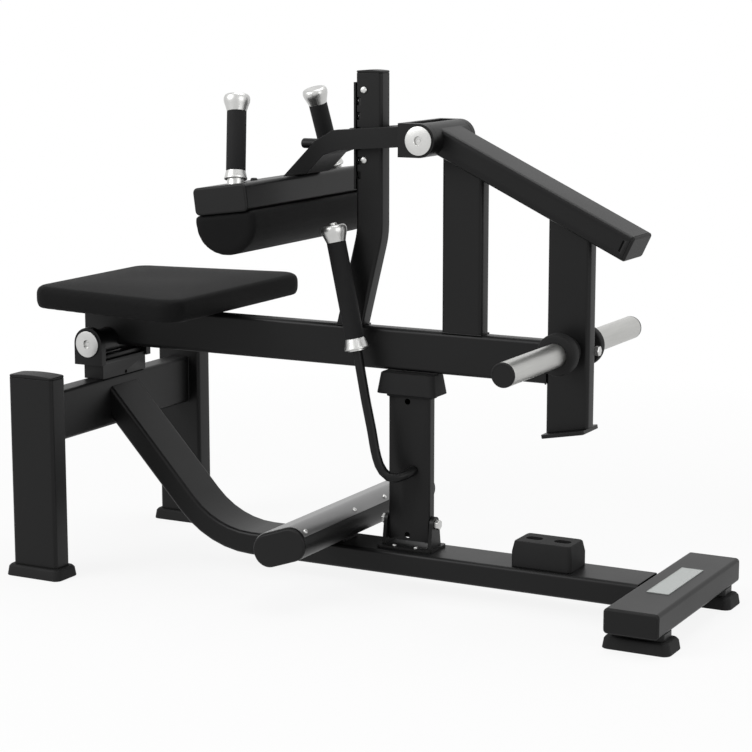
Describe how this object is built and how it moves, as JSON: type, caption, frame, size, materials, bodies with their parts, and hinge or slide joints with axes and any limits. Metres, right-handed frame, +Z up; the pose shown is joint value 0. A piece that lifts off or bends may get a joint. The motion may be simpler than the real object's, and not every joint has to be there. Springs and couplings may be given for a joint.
{
  "type": "seated calf raise machine",
  "caption": "Plate-loaded lever machine with a seat, knee pad, weight horns, foot bar and a swing-away prop on a floor frame.",
  "frame": {"origin": "on the floor at the middle of the machine's overall box, in its middle plane", "axes": "+X from the seat towards the weight horns, +Y to the user's left, +Z up"},
  "size_m": [1.471, 0.654, 1.0803],
  "materials": {
    "frame_paint": "matte black powder coat",
    "black_plastic": "moulded matte black",
    "black_rubber": "matte black rubber",
    "grip_rubber": "ribbed matte black rubber",
    "pad_cover": "black vinyl with a fine grain",
    "bright_steel": "satin bright steel",
    "brushed_tread": "brushed sheet"
  },
  "bodies": {
    "base": {"rear_post_right": "frame_paint", "rear_post_left": "frame_paint", "rear_post_cap_right": "black_plastic", "rear_post_cap_left": "black_plastic", "rear_foot_right": "black_rubber", "rear_foot_left": "black_rubber", "rear_cross_tube": "frame_paint", "spine_tube": "frame_paint", "front_cross_foot": "frame_paint", "front_foot_cap_right": "black_plastic", "front_foot_cap_left": "black_plastic", "front_foot_right": "black_rubber", "front_foot_left": "black_rubber", "foot_bar_tube": "frame_paint", "foot_bar_tread": "brushed_tread", "foot_bar_cap_right": "black_plastic", "foot_bar_cap_left": "black_plastic", "foot_bar_saddle": "frame_paint", "bump_stop": "black_rubber", "prop_bracket": "frame_paint", "prop_hinge_bolt": "bright_steel", "pivot_bracket": "frame_paint", "rear_axle": "bright_steel", "rear_axle_disc": "bright_steel"},
    "lever": {"lever_hub": "frame_paint", "lever_beam": "frame_paint", "head_beam": "frame_paint", "head_beam_cap": "black_plastic", "rear_lever_post": "frame_paint", "front_lever_post": "frame_paint", "strike_plate": "frame_paint", "horn_bar": "frame_paint", "horn_collar_right": "black_rubber", "horn_collar_left": "black_rubber", "horn_sleeve_right": "bright_steel", "horn_sleeve_left": "bright_steel", "horn_end_cap_right": "black_plastic", "horn_end_cap_left": "black_plastic", "upright_tube": "frame_paint", "upright_cap": "black_plastic", "hole_plate": "frame_paint", "seat_board": "frame_paint", "seat_pad": "pad_cover"},
    "pad_arm": {"pad_arm": "frame_paint", "head_axle": "bright_steel", "head_axle_disc": "bright_steel", "pad_housing": "frame_paint", "housing_cap_right": "black_plastic", "housing_cap_left": "black_plastic", "knee_pad": "pad_cover", "handle_core_right": "bright_steel", "handle_core_left": "bright_steel", "handle_grip_right": "grip_rubber", "handle_grip_left": "grip_rubber"},
    "pull_pin": {"pull_pin": "frame_paint"},
    "prop": {"prop_post": "frame_paint", "prop_cap": "black_rubber", "prop_rod": "frame_paint", "prop_handle_core": "bright_steel", "prop_grip": "grip_rubber"}
  },
  "joints": [
    {"name": "lever_pivot", "type": "hinge", "parent": "base", "child": "lever", "pos_m": [-0.6685, 0, 0.475], "axis": [0, -1, 0], "range_deg": [0, 15]},
    {"name": "pad_arm_pivot", "type": "hinge", "parent": "lever", "child": "pad_arm", "pos_m": [0.1435, 0, 0.946], "axis": [0, 1, 0], "range_deg": [-9.32, 18.7]},
    {"name": "pull_pin_slide", "type": "slide", "parent": "pad_arm", "child": "pull_pin", "axis": [1, 0, 0], "range_m": [0, 0.021]},
    {"name": "prop_swing", "type": "hinge", "parent": "base", "child": "prop", "pos_m": [0.0815, 0, 0.142], "axis": [1, 0, 0], "range_deg": [0, 30]}
  ]
}
